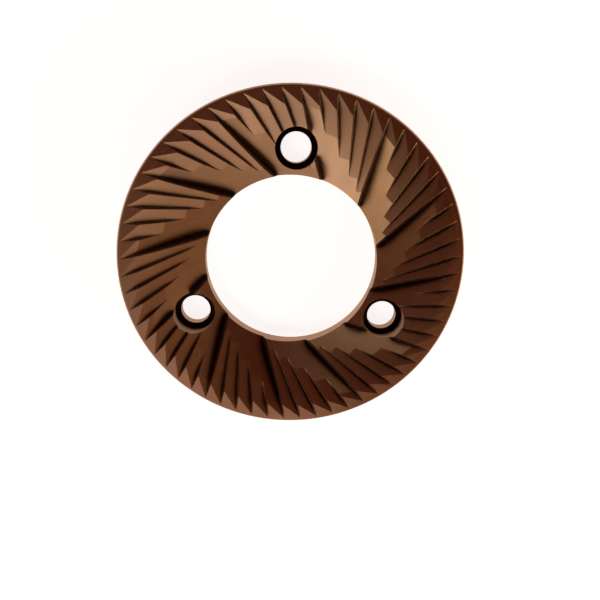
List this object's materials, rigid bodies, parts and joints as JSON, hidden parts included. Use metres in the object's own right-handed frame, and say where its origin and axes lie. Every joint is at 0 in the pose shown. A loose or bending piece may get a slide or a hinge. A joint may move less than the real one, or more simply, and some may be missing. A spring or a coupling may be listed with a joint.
{
  "type": "coffee grinder burr",
  "caption": "Flat ring burr of a coffee grinder: coarse hollow-ground breaker teeth by the bore run out into fine cutting teeth at the rim, with counterbored screw holes.",
  "frame": {"origin": "on the ring's axis, in the plane of its flat back", "axes": "+Z along the ring's axis, from the back to the toothed face; +Y through one of the screw holes"},
  "size_m": [0.075, 0.075, 0.0075],
  "materials": {
    "coated_steel": "satin, with a bronze-brown hard coating"
  },
  "bodies": {
    "root": {"grinder_burr": "coated_steel"}
  },
  "joints": []
}
